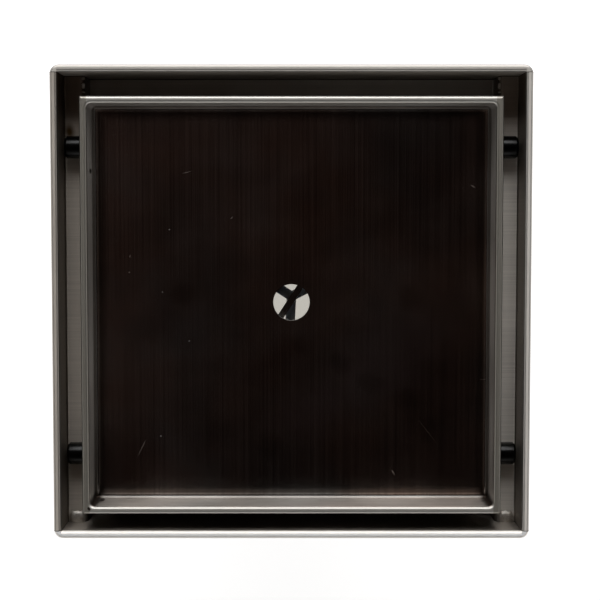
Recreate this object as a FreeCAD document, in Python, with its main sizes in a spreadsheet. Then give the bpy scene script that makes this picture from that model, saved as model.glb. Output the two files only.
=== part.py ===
import FreeCAD, Part
import math
import os
from dataclasses import dataclass

import Sketcher

# Square shower drain with a loose tile tray, in millimetres.
# X runs to the right, Y to the back and Z up. The drain stands on the end of its outlet at the origin.

SIZES = {
    # Tile tray: a folded pan that hangs in the body with its rim level with the body's rim
    "tray_width": 114.3,
    "tray_length": 113.5,
    "tray_depth": 15.0,
    "tray_sheet": 2.0,
    "tray_bend": 1.0,
    "tray_rim_round": 0.9,
    "tray_corner_inside": 1.3,
    "lift_hole": 10.2,
    "lift_hole_shift": 0.4,
    "tray_shift": 0.8,
    # Body: a folded channel closed by two welded end plates
    "side_gap": 5.85,
    "end_gap": 5.6,
    "sheet_thickness": 2.0,
    "rim_round": 0.9,
    "corner_inside": 0.5,
    "fold_inside": 0.5,
    "fold_outside": 1.2,
    "tray_clearance": 0.25,
    "tray_drop": 1.5,
    "sump_clearance": 9.0,
    # Outlet tube under the sump
    "outlet_diameter": 50.0,
    "outlet_wall": 1.5,
    "outlet_length": 54.0,
    "outlet_edge": 0.5,
    # Rubber pegs on steel studs, two on each side of the tray
    "peg_diameter": 6.2,
    "peg_inset": 14.25,
    "peg_shift": 0.9,
    "peg_end_clearance": 0.7,
    "peg_edge": 0.6,
    "stud_diameter": 3.0,
    "stud_cover": 1.3,
    # Hair strainer that hangs in the outlet, and its strip handle
    "strainer_sheet": 1.0,
    "flange_overlap": 3.5,
    "cup_clearance": 1.2,
    "cup_depth": 13.0,
    "spoke_width": 2.8,
    "middle_ring": 8.0,
    "hole_ring": 14.0,
    "strainer_hole": 6.5,
    "handle_width": 1.8,
    "handle_strip": 1.2,
    "handle_gap": 3.0,
    "handle_bend": 1.8,
    "strainer_turn": -33.0,
}

SPOKES = 3
STRAINER_HOLES = 6
ROUND_SHARE = 0.48
CORNER_SHARE = 0.96
TOUCH = 0.01

AXIS_X = FreeCAD.Vector(1, 0, 0)
AXIS_Y = FreeCAD.Vector(0, 1, 0)
AXIS_Z = FreeCAD.Vector(0, 0, 1)


@dataclass(frozen=True)
class Size:
    """A length with the spreadsheet expression that gives it."""

    value: float
    text: str

    def __add__(self, other):
        other = as_size(other)
        return Size(self.value + other.value, f"({self.text} + {other.text})")

    def __sub__(self, other):
        other = as_size(other)
        return Size(self.value - other.value, f"({self.text} - {other.text})")

    def __neg__(self):
        return Size(-self.value, f"(-1 * {self.text})")

    def __mul__(self, factor):
        return Size(self.value * factor, f"({self.text} * {factor})")

    def __truediv__(self, divisor):
        return Size(self.value / divisor, f"({self.text} / {divisor})")


def as_size(length):
    """Return a length as a Size, also when it is a plain number."""
    if isinstance(length, Size):
        return length
    return Size(float(length), str(length))


def limited(size, wall):
    """Return the smaller of a size and what its wall has room for."""
    return Size(min(size.value, wall.value), f"min({size.text}; {wall.text})")


def leg(longest, side):
    """Return the third side of a triangle with a right angle."""
    length = math.sqrt(longest.value ** 2 - side.value ** 2)
    return Size(length, f"sqrt({longest.text} ^ 2 - {side.text} ^ 2)")


def cell(name):
    """Return the Size that a spreadsheet cell drives."""
    return Size(SIZES[name], f"Sizes.{name}")


ZERO = Size(0.0, "0")

# Levels above the end of the outlet
FLOOR_UNDER = cell("outlet_length")
SUMP_TOP = FLOOR_UNDER + cell("sheet_thickness")
TRAY_UNDER = SUMP_TOP + cell("sump_clearance")
LEDGE_TOP = TRAY_UNDER + cell("tray_drop")
LEDGE_UNDER = LEDGE_TOP - cell("sheet_thickness")
RIM_TOP = TRAY_UNDER + cell("tray_depth")
PEG_AXIS = LEDGE_TOP + cell("peg_diameter") / 2

# Half widths and lengths from the middle of the drain
TRAY_SIDE = cell("tray_width") / 2
TRAY_END = cell("tray_length") / 2
PEG_OUT = TRAY_END - cell("peg_inset")
PEG_MIDDLE = cell("peg_shift") - cell("tray_shift")
WALL_INSIDE = TRAY_SIDE + cell("side_gap")
WALL_OUTSIDE = WALL_INSIDE + cell("sheet_thickness")
THROAT_INSIDE = TRAY_SIDE + cell("tray_clearance")
THROAT_OUTSIDE = THROAT_INSIDE + cell("sheet_thickness")
CHANNEL_END = TRAY_END + cell("end_gap")
PLATE_MIDDLE = CHANNEL_END + cell("sheet_thickness") / 2
BORE_RADIUS = cell("outlet_diameter") / 2 - cell("outlet_wall")
PEG_LENGTH = cell("side_gap") - cell("peg_end_clearance")
STUD_LENGTH = PEG_LENGTH - cell("stud_cover")


def make_sheet(doc):
    """Write the driving dimensions into a spreadsheet, one alias each."""
    sheet = doc.addObject("Spreadsheet::Sheet", "Sizes")
    for row, (name, value) in enumerate(SIZES.items(), 1):
        sheet.set(f"A{row}", name)
        sheet.set(f"B{row}", str(value))
        sheet.setAlias(f"B{row}", name)
    doc.recompute()


def new_body(doc, label):
    """Start a body that becomes one node."""
    body = doc.addObject("PartDesign::Body", label)
    body.Label = label
    return body


def place(item, x=None, y=None, z=None):
    """Bind an object's place to the sizes."""
    for axis, size in (("x", x), ("y", y), ("z", z)):
        if size is not None:
            item.setExpression(f"Placement.Base.{axis}", size.text)


def new_sketch(body, name, role, lift=None):
    """Start a sketch on one of the body's own planes, lifted along the plane's normal if asked."""
    sketch = body.newObject("Sketcher::SketchObject", name)
    plane = next(feature for feature in body.Origin.OriginFeatures if feature.Role == role)
    sketch.AttachmentSupport = [(plane, "")]
    sketch.MapMode = "FlatFace"
    if lift is not None:
        sketch.setExpression("AttachmentOffset.Base.z", lift.text)
    return sketch


def constrain(sketch, size, kind, *places):
    """Add a dimension to a sketch and bind it to a size."""
    index = sketch.addConstraint(Sketcher.Constraint(kind, *places, size.value))
    sketch.setExpression(f"Constraints[{index}]", size.text)


def pin(sketch, geometry, end, corner):
    """Tie one end of a sketch line or arc to its place from the sketch's origin."""
    for kind, size in zip(("DistanceX", "DistanceY"), corner):
        constrain(sketch, size, kind, -1, 1, geometry, end)


def arc_between(start, finish, middle):
    """Return an arc round a middle point, and whether it runs from start to finish."""
    first = start - middle
    last = finish - middle
    forward = first.cross(last).z > 0
    if not forward:
        first, last = last, first
    ring = Part.Circle(middle, AXIS_Z, first.Length)
    arc = Part.ArcOfCircle(ring, math.atan2(first.y, first.x), math.atan2(last.y, last.x))
    return arc, forward


def outline(sketch, corners, arcs=None, closed=True):
    """Draw the stretches between corners and tie them to the sizes.

    arcs maps the number of a round stretch to its radius and its middle point.
    """
    arcs = arcs or {}
    spots = [FreeCAD.Vector(x.value, y.value, 0) for x, y in corners]
    stretches = len(corners) if closed else len(corners) - 1
    ends = []
    for number in range(stretches):
        start = spots[number]
        finish = spots[(number + 1) % len(spots)]
        if number in arcs:
            radius, middle = arcs[number]
            centre = FreeCAD.Vector(middle[0].value, middle[1].value, 0)
            arc, forward = arc_between(start, finish, centre)
            index = sketch.addGeometry(arc)
            constrain(sketch, radius, "Radius", index)
            ends.append((index, 1, 2) if forward else (index, 2, 1))
        else:
            index = sketch.addGeometry(Part.LineSegment(start, finish))
            ends.append((index, 1, 2))
    for number in range(stretches if closed else stretches - 1):
        this = ends[number]
        following = ends[(number + 1) % stretches]
        joint = Sketcher.Constraint("Coincident", this[0], this[2], following[0], following[1])
        sketch.addConstraint(joint)
    for number, corner in enumerate(corners):
        if number < stretches:
            pin(sketch, ends[number][0], ends[number][1], corner)
        else:
            pin(sketch, ends[-1][0], ends[-1][2], corner)


def rectangle(sketch, half_width, half_length):
    """Draw a rectangle about the sketch's origin."""
    outline(sketch, [
        (-half_width, -half_length),
        (half_width, -half_length),
        (half_width, half_length),
        (-half_width, half_length),
    ])


def circle(sketch, diameter, centre=(ZERO, ZERO)):
    """Draw a circle."""
    middle = FreeCAD.Vector(centre[0].value, centre[1].value, 0)
    index = sketch.addGeometry(Part.Circle(middle, AXIS_Z, diameter.value / 2))
    pin(sketch, index, 3, centre)
    constrain(sketch, diameter, "Diameter", index)


def corner_fillet(sketch, x, y, across, up, radius):
    """Draw the piece between a corner and the quarter round that touches both of its sides.

    across and up are 1 or -1 and point from the corner towards the quarter round's middle.
    """
    beside = x + radius * across
    above = y + radius * up
    outline(sketch, [(x, y), (beside, y), (x, above)], {1: (radius, (beside, above))})


def extrude(body, kind, name, sketch, length, symmetric=False, reverse=False):
    """Add a pad or a pocket of a sketch."""
    feature = body.newObject(f"PartDesign::{kind}", name)
    feature.Profile = sketch
    feature.setExpression("Length", length.text)
    feature.SideType = "Symmetric" if symmetric else "One side"
    feature.Reversed = reverse
    return feature


def edges_along(feature, axis, spots):
    """Return the names of the straight edges along an axis that pass through the given spots."""
    feature.Document.recompute()
    names = []
    for number, edge in enumerate(feature.Shape.Edges, 1):
        if not isinstance(edge.Curve, Part.Line):
            continue
        if abs(edge.tangentAt(edge.FirstParameter).cross(axis).Length) > TOUCH:
            continue
        for spot in spots:
            if (edge.CenterOfMass - spot).cross(axis).Length < TOUCH:
                names.append(f"Edge{number}")
    return names


def fillet(body, name, base, edges, radius):
    """Round the named edges."""
    feature = body.newObject("PartDesign::Fillet", name)
    feature.Base = (base, edges)
    feature.setExpression("Radius", radius.text)
    return feature


def spot(x=ZERO, y=ZERO, z=ZERO):
    """Return the point that three sizes give."""
    return FreeCAD.Vector(x.value, y.value, z.value)


def both_sides(x, z):
    """Return a spot in the XZ section and its mirror image."""
    return [spot(x=x, z=z), spot(x=-x, z=z)]


def make_channel(doc):
    """Fold the channel: side walls, ledges, throat walls and a sump floor with the outlet opening."""
    body = new_body(doc, "drain_channel")
    right = [
        (THROAT_OUTSIDE, FLOOR_UNDER),
        (THROAT_OUTSIDE, LEDGE_UNDER),
        (WALL_OUTSIDE, LEDGE_UNDER),
        (WALL_OUTSIDE, RIM_TOP),
        (WALL_INSIDE, RIM_TOP),
        (WALL_INSIDE, LEDGE_TOP),
        (THROAT_INSIDE, LEDGE_TOP),
        (THROAT_INSIDE, SUMP_TOP),
    ]
    left = [(-x, z) for x, z in reversed(right)]
    section = new_sketch(body, "channel_section", "XZ_Plane")
    outline(section, right + left)
    sheet = extrude(body, "Pad", "channel_sheet", section, CHANNEL_END * 2, symmetric=True)

    inside = both_sides(WALL_INSIDE, LEDGE_TOP)
    inside += both_sides(THROAT_OUTSIDE, LEDGE_UNDER)
    inside += both_sides(THROAT_INSIDE, SUMP_TOP)
    names = edges_along(sheet, AXIS_Y, inside)
    tight = fillet(body, "fold_insides", sheet, names, cell("fold_inside"))

    outside = both_sides(WALL_OUTSIDE, LEDGE_UNDER)
    outside += both_sides(THROAT_INSIDE, LEDGE_TOP)
    outside += both_sides(THROAT_OUTSIDE, FLOOR_UNDER)
    names = edges_along(tight, AXIS_Y, outside)
    wide = fillet(body, "fold_outsides", tight, names, cell("fold_outside"))

    rim = both_sides(WALL_OUTSIDE, RIM_TOP) + both_sides(WALL_INSIDE, RIM_TOP)
    names = edges_along(wide, AXIS_Y, rim)
    fillet(body, "side_rims", wide, names, rim_radius())

    opening = new_sketch(body, "outlet_opening_outline", "XY_Plane")
    circle(opening, BORE_RADIUS * 2)
    cut = extrude(body, "Pocket", "outlet_opening", opening, RIM_TOP, reverse=True)
    body.Tip = cut
    return body


def rim_radius():
    """Return the radius that rounds both edges of the body's rim."""
    return limited(cell("rim_round"), cell("sheet_thickness") * ROUND_SHARE)


def make_end_plate(doc, label, side):
    """Cut an end plate to the channel's section and round its rim and its outer corners."""
    body = new_body(doc, label)
    half = cell("sheet_thickness") / 2
    inside = cell("corner_inside")
    radius = cell("sheet_thickness") + inside
    straight = WALL_OUTSIDE - radius
    reach = straight + leg(radius, inside)
    low = half - radius

    foot = new_sketch(body, f"{label}_foot_outline", "XY_Plane", lift=FLOOR_UNDER)
    rectangle(foot, THROAT_OUTSIDE, half)
    extrude(body, "Pad", f"{label}_foot", foot, LEDGE_UNDER - FLOOR_UNDER)
    head = new_sketch(body, f"{label}_head_outline", "XY_Plane", lift=LEDGE_UNDER)
    corners = [(-reach, -half), (reach, -half), (straight, half), (-straight, half)]
    outline(head, corners, {1: (radius, (straight, low)), 3: (radius, (-straight, low))})
    extrude(body, "Pad", f"{label}_head", head, RIM_TOP - LEDGE_UNDER)

    inner_edge = new_sketch(body, f"{label}_rim_inside_outline", "YZ_Plane")
    corner_fillet(inner_edge, -half, RIM_TOP, 1, -1, rim_radius())
    inner_rim = extrude(body, "Pocket", f"{label}_rim_inside", inner_edge, WALL_INSIDE * 2, symmetric=True)

    names = edges_along(inner_rim, AXIS_X, [spot(y=half, z=RIM_TOP)])
    body.Tip = fillet(body, f"{label}_rim_outside", inner_rim, names, rim_radius())
    if side < 0:
        body.Placement = FreeCAD.Placement(FreeCAD.Vector(), FreeCAD.Rotation(AXIS_Z, 180))
    place(body, y=PLATE_MIDDLE * side)
    return body


def turned(body, name, section):
    """Turn a section about the sketch's upright axis."""
    feature = body.newObject("PartDesign::Revolution", name)
    feature.Profile = section
    feature.ReferenceAxis = (section, ["V_Axis"])
    feature.Angle = 360
    return feature


def make_outlet(doc):
    """Turn the outlet tube, with the outer edge of its free end broken."""
    body = new_body(doc, "outlet_spigot")
    outer = cell("outlet_diameter") / 2
    edge = limited(cell("outlet_edge"), cell("outlet_wall") * ROUND_SHARE)
    section = new_sketch(body, "outlet_section", "XZ_Plane")
    outline(section, [
        (BORE_RADIUS, ZERO),
        (outer - edge, ZERO),
        (outer, edge),
        (outer, FLOOR_UNDER),
        (BORE_RADIUS, FLOOR_UNDER),
    ])
    turned(body, "outlet_tube", section)
    return body


def make_tray(doc):
    """Fold the tile tray: four walls, welded at the corners, round a floor with the lift hole."""
    body = new_body(doc, "tile_tray")
    sheet = cell("tray_sheet")
    depth = cell("tray_depth")
    inner_side = TRAY_SIDE - sheet
    inner_end = TRAY_END - sheet

    blank = new_sketch(body, "tray_outline", "XY_Plane")
    rectangle(blank, TRAY_SIDE, TRAY_END)
    extrude(body, "Pad", "tray_block", blank, depth)
    recess = new_sketch(body, "tray_recess_outline", "XY_Plane", lift=depth)
    rectangle(recess, inner_side, inner_end)
    extrude(body, "Pocket", "tray_recess", recess, depth - sheet)
    welds = new_sketch(body, "corner_weld_outline", "XY_Plane", lift=sheet)
    for side in (-1, 1):
        for end in (-1, 1):
            corner_fillet(welds, inner_side * side, inner_end * end, -side, -end, cell("tray_corner_inside"))
    extrude(body, "Pad", "corner_welds", welds, depth - sheet)

    walls = (("side", "XZ_Plane", inner_side, TRAY_SIDE, TRAY_END, inner_end),
             ("end", "YZ_Plane", inner_end, TRAY_END, TRAY_SIDE, inner_side))
    for name, plane, inner, outer, outer_run, inner_run in walls:
        bend = new_sketch(body, f"{name}_bend_inside_outline", plane)
        corner_fillet(bend, inner, sheet, -1, 1, cell("tray_bend"))
        corner_fillet(bend, -inner, sheet, 1, 1, cell("tray_bend"))
        extrude(body, "Pad", f"{name}_bend_inside", bend, inner_run * 2, symmetric=True)
        bend = new_sketch(body, f"{name}_bend_outside_outline", plane)
        corner_fillet(bend, outer, ZERO, -1, 1, cell("tray_bend") + sheet)
        corner_fillet(bend, -outer, ZERO, 1, 1, cell("tray_bend") + sheet)
        extrude(body, "Pocket", f"{name}_bend_outside", bend, outer_run * 2, symmetric=True)

    hole = new_sketch(body, "lift_hole_outline", "XY_Plane")
    circle(hole, cell("lift_hole"), (ZERO, cell("lift_hole_shift")))
    drilled = extrude(body, "Pocket", "lift_hole", hole, depth, reverse=True)

    along = [spot(y=y, z=depth) for y in (TRAY_END, -TRAY_END, inner_end, -inner_end)]
    names = edges_along(drilled, AXIS_X, along)
    across = [spot(x=x, z=depth) for x in (TRAY_SIDE, -TRAY_SIDE, inner_side, -inner_side)]
    names += edges_along(drilled, AXIS_Y, across)
    radius = limited(cell("tray_rim_round"), sheet * ROUND_SHARE)
    body.Tip = fillet(body, "tray_rim", drilled, names, radius)
    place(body, y=-cell("tray_shift"), z=TRAY_UNDER)
    return body


def point_sideways(item, side):
    """Turn an upright piece so that its top points to the left or the right."""
    item.Placement = FreeCAD.Placement(FreeCAD.Vector(), FreeCAD.Rotation(AXIS_Y, 90 * side))


def make_stud(doc, label, side, end):
    """Make one stud that is welded to the tray's side wall."""
    stud = doc.addObject("Part::Cylinder", label)
    stud.Label = label
    stud.setExpression("Radius", (cell("stud_diameter") / 2).text)
    stud.setExpression("Height", STUD_LENGTH.text)
    point_sideways(stud, side)
    place(stud, x=TRAY_SIDE * side, y=PEG_OUT * end + PEG_MIDDLE, z=PEG_AXIS)
    return stud


def make_peg(doc, label, side, end):
    """Turn one rubber peg: a sleeve with a closed, bevelled end that covers its stud."""
    body = new_body(doc, label)
    outer = cell("peg_diameter") / 2
    inner = cell("stud_diameter") / 2
    edge = limited(cell("peg_edge"), cell("stud_cover") * CORNER_SHARE)
    section = new_sketch(body, f"{label}_section", "XZ_Plane")
    corners = [
        (inner, ZERO),
        (outer, ZERO),
        (outer, PEG_LENGTH - edge),
        (outer - edge, PEG_LENGTH),
        (ZERO, PEG_LENGTH),
        (ZERO, STUD_LENGTH),
        (inner, STUD_LENGTH),
    ]
    outline(section, corners)
    turned(body, f"{label}_sleeve", section)
    point_sideways(body, side)
    place(body, x=TRAY_SIDE * side, y=PEG_OUT * end + PEG_MIDDLE, z=PEG_AXIS)
    return body


def turn_strainer(item):
    """Turn a strainer piece about the outlet's axis and stand it on the sump floor."""
    item.setExpression("Placement.Rotation.Angle", cell("strainer_turn").text)
    place(item, z=SUMP_TOP)


def make_strainer(doc):
    """Press the strainer: a flanged cup with three windows and a ring of round holes in its floor."""
    body = new_body(doc, "hair_strainer")
    sheet = cell("strainer_sheet")
    cup = BORE_RADIUS - cell("cup_clearance")
    flange = BORE_RADIUS + cell("flange_overlap")
    bottom = -cell("cup_depth")
    section = new_sketch(body, "strainer_section", "XZ_Plane")
    corners = [
        (ZERO, bottom),
        (cup, bottom),
        (cup, ZERO),
        (flange, ZERO),
        (flange, sheet),
        (cup - sheet, sheet),
        (cup - sheet, bottom + sheet),
        (ZERO, bottom + sheet),
    ]
    outline(section, corners)
    turned(body, "strainer_cup", section)

    window = new_sketch(body, "strainer_window_outline", "XY_Plane", lift=bottom)
    draw_window(window)
    first = extrude(body, "Pocket", "strainer_window", window, sheet, reverse=True)
    windows = repeat(body, "strainer_windows", first, window, SPOKES)
    body.Tip = windows

    hole = new_sketch(body, "strainer_hole_outline", "XY_Plane", lift=bottom)
    circle(hole, cell("strainer_hole"), (cell("hole_ring"), ZERO))
    first = extrude(body, "Pocket", "strainer_hole", hole, sheet, reverse=True)
    body.Tip = repeat(body, "strainer_holes", first, hole, STRAINER_HOLES)
    turn_strainer(body)
    return body


def draw_window(sketch):
    """Draw one window between two spokes: two straight sides and a round outer side."""
    half_turn = math.pi / SPOKES
    half_spoke = cell("spoke_width") / 2
    ring = cell("middle_ring")
    tip = half_spoke / math.sin(half_turn)
    reach = math.sqrt(ring.value ** 2 - half_spoke.value ** 2)
    along = Size(reach, f"sqrt({ring.text} ^ 2 - {half_spoke.text} ^ 2)")
    x = along * math.cos(half_turn) + half_spoke * math.sin(half_turn)
    y = along * math.sin(half_turn) - half_spoke * math.cos(half_turn)
    outline(sketch, [(tip, ZERO), (x, -y), (x, y)], {1: (ring, (ZERO, ZERO))})


def repeat(body, name, feature, sketch, count):
    """Repeat a feature evenly round the sketch's normal through its origin."""
    pattern = body.newObject("PartDesign::PolarPattern", name)
    pattern.Originals = [feature]
    pattern.Axis = (sketch, ["N_Axis"])
    pattern.Angle = 360
    pattern.Occurrences = count
    return pattern


def make_handle(doc):
    """Bend the strainer's strip handle: two feet on the flange and a straight grip over the cup."""
    body = new_body(doc, "strainer_handle")
    strip = cell("handle_strip")
    foot = cell("strainer_sheet")
    top = cell("sump_clearance") - cell("handle_gap")
    outer = BORE_RADIUS + cell("flange_overlap") / 2 + strip / 2
    inner = outer - strip
    bend = limited(cell("handle_bend"), (top - foot - strip) * CORNER_SHARE)
    level = top - strip - bend
    side = inner - bend
    corners = [
        (outer, foot),
        (outer, level),
        (side, top),
        (-side, top),
        (-outer, level),
        (-outer, foot),
        (-inner, foot),
        (-inner, level),
        (-side, top - strip),
        (side, top - strip),
        (inner, level),
        (inner, foot),
    ]
    section = new_sketch(body, "handle_section", "YZ_Plane")
    outline(section, corners, {
        1: (bend + strip, (side, level)),
        3: (bend + strip, (-side, level)),
        7: (bend, (-side, level)),
        9: (bend, (side, level)),
    })
    extrude(body, "Pad", "handle_bar", section, cell("handle_width"), symmetric=True)
    turn_strainer(body)
    return body


def make_nodes(doc):
    """Build every sub-part of the drain and return the objects that become nodes."""
    nodes = [
        make_channel(doc),
        make_end_plate(doc, "end_plate_back", 1),
        make_end_plate(doc, "end_plate_front", -1),
        make_outlet(doc),
        make_tray(doc),
    ]
    for side_name, side in (("left", -1), ("right", 1)):
        for end_name, end in (("back", 1), ("front", -1)):
            corner = f"{side_name}_{end_name}"
            nodes.append(make_stud(doc, f"tray_stud_{corner}", side, end))
            nodes.append(make_peg(doc, f"rubber_peg_{corner}", side, end))
    nodes.append(make_strainer(doc))
    nodes.append(make_handle(doc))
    return nodes


def check(doc, nodes):
    """Stop if any object failed or any node is not one valid solid."""
    failed = [item.Name for item in doc.Objects if {"Invalid", "Error"} & set(item.State)]
    if failed:
        raise RuntimeError(f"failed objects: {failed}")
    for node in nodes:
        shape = node.Shape
        if shape.isNull() or not shape.isValid() or len(shape.Solids) != 1:
            raise RuntimeError(f"{node.Label} is not one valid solid")


def main():
    """Build the drain and write one STEP file for each node."""
    doc = FreeCAD.newDocument("shower_drain")
    make_sheet(doc)
    nodes = make_nodes(doc)
    doc.recompute()
    check(doc, nodes)
    os.makedirs("parts", exist_ok=True)
    for node in nodes:
        node.Shape.exportStep(f"parts/{node.Label}.step")
        print(f"{node.Label}: {node.Shape.Volume:.1f} mm3")


main()
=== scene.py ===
import logging
import math
import random
from dataclasses import dataclass, field
from enum import Enum

import bmesh
import bpy
from mathutils import Matrix, Vector


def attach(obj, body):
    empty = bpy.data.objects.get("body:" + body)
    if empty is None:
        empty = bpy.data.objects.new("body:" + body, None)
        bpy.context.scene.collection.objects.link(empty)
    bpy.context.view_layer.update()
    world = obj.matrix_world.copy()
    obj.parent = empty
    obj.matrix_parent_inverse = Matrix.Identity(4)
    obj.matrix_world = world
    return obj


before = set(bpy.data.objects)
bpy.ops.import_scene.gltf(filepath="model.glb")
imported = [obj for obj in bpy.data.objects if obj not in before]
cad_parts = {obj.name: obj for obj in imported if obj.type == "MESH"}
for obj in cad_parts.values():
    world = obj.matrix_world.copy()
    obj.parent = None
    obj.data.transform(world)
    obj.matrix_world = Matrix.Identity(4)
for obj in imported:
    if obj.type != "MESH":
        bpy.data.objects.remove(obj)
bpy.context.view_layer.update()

MM = 0.001
BODY = "root"
SEED = 5
NOISE_MIDDLE = (0.5, 0.5, 0.5)
FALLING = {"To Min": 1.0, "To Max": 0.0}
RINGS_PER_RIPPLE = 2
LOG = logging.getLogger("shower_drain")

Node = bpy.types.Node
Socket = bpy.types.NodeSocket
Source = Node | Socket
Tree = bpy.types.NodeTree
Material = bpy.types.Material
Point = tuple[float, float, float]
Span = tuple[float, float]


def linear(colour: str) -> tuple[float, float, float, float]:
    """Turn an sRGB hex colour to linear light.

    Args:
        colour: Hex colour such as "#c8c2ba".

    Returns:
        Red, green, blue and an alpha of 1.
    """
    channels = [int(colour[start:start + 2], 16) / 255 for start in (1, 3, 5)]
    red, green, blue = [
        channel / 12.92 if channel <= 0.04045 else ((channel + 0.055) / 1.055) ** 2.4 for channel in channels
    ]
    return red, green, blue, 1.0


def add_node(
    tree: Tree,
    kind: str,
    settings: dict[str, object] | None = None,
    inputs: dict[str | int, object] | None = None,
) -> Node:
    """Add a shader node, set it up and link it.

    Args:
        tree: Node tree of the material or the world.
        kind: Type of the node, without Blender's prefix.
        settings: Attributes of the node.
        inputs: A value, a socket or a node's first output for each input, by name or number.

    Returns:
        The new node.
    """
    node = tree.nodes.new(f"ShaderNode{kind}")
    for name, value in (settings or {}).items():
        setattr(node, name, value)
    in_use = [socket for socket in node.inputs if socket.enabled]
    for key, value in (inputs or {}).items():
        target = node.inputs[key] if isinstance(key, int) else next(one for one in in_use if one.name == key)
        if isinstance(value, Node):
            value = next(socket for socket in value.outputs if socket.enabled)
        if isinstance(value, Socket):
            tree.links.new(value, target)
        else:
            target.default_value = value
    return node


def between(pair: Span, unit: float = 1.0) -> dict[str, float]:
    """Return the two ends that a range node reads, from a pair in the given unit."""
    return {"From Min": pair[0] * unit, "From Max": pair[1] * unit}


def start_material(name: str) -> tuple[Material, Tree]:
    """Start a material with no nodes.

    Args:
        name: What the real material is.

    Returns:
        The material and its node tree.
    """
    material = bpy.data.materials.new(name)
    material.use_nodes = True
    material.node_tree.nodes.clear()
    return material, material.node_tree


class Blend(Enum):
    """How a layer changes the colour below it."""

    TINT = "MULTIPLY"
    COVER = "MIX"


@dataclass(frozen=True)
class Layer:
    """A layer of wear, dirt or painted shade: where it lies, its colour and how it changes the colour below.
    """

    mask: Node | float
    colour: str
    blend: Blend = Blend.TINT


def lay_over(tree: Tree, colour: Node, layers: tuple[Layer, ...]) -> Node:
    """Lay wear, dirt and painted shade over a colour.

    Args:
        tree: Node tree of the material.
        colour: The clean colour.
        layers: The layers, with the lowest first.

    Returns:
        The colour with all layers on it.
    """
    for layer in layers:
        colour = add_node(tree, "Mix", {"data_type": "RGBA", "blend_type": layer.blend.value}, {
            "Factor": layer.mask, "A": colour, "B": linear(layer.colour),
        })
    return colour


@dataclass(frozen=True)
class Mark:
    """A scratch, smudge, stain or patch of painted shade, by its middle, half sizes and turn."""

    x_mm: float
    y_mm: float
    half_length_mm: float
    half_width_mm: float
    turn_deg: float = 0.0
    level_mm: float = 67.0
    half_depth_mm: float = 3.0


Marks = tuple[Mark, ...]


def draw_marks(tree: Tree, place: Source, marks: Marks, core: float) -> Node | float:
    """Draw marks at their places.

    Args:
        tree: Node tree of the material.
        place: Object coordinates.
        marks: The marks.
        core: Share of each mark that is at full strength.

    Returns:
        1 on a mark and 0 beside it.
    """
    total: Node | float = 0.0
    for mark in marks:
        centred = add_node(tree, "Mapping", {"vector_type": "TEXTURE"}, {
            "Vector": place,
            "Location": (mark.x_mm * MM, mark.y_mm * MM, mark.level_mm * MM),
            "Rotation": (0.0, 0.0, math.radians(mark.turn_deg)),
            "Scale": (mark.half_length_mm * MM, mark.half_width_mm * MM, mark.half_depth_mm * MM),
        })
        distance = add_node(tree, "VectorMath", {"operation": "LENGTH"}, {0: centred})
        ramp = add_node(tree, "MapRange", {"interpolation_type": "SMOOTHSTEP"}, {
            "Value": distance, **between((core, 1.0)), **FALLING,
        })
        total = add_node(tree, "Math", {"operation": "MAXIMUM"}, {0: total, 1: ramp})
    return total


class Grain(Enum):
    """Direction of the brush lines, with the direction across them where they run into a wall."""

    ALONG_X_ON_FOLDS = ((1.0, 0.0, 0.0), (0.0, 0.05, 0.0))
    ALONG_X_ON_PLATE = ((1.0, 0.0, 0.0), (0.0, 0.0, 0.05))
    ALONG_Y = ((0.0, 1.0, 0.0), (0.0, 0.0, 0.05))

    @property
    def line(self) -> Point:
        """Return the direction that the brush lines run in."""
        return self.value[0]

    @property
    def fallback(self) -> Point:
        """Return the direction across the lines where a wall faces along them."""
        return self.value[1]


@dataclass(frozen=True)
class Sheet:
    """A sheet's node tree, with its coordinates and its surface normal, whole and by their X, Y and Z."""

    tree: Tree
    place: Socket
    facing: Socket
    spot: bpy.types.NodeOutputs
    normal: bpy.types.NodeOutputs


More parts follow.
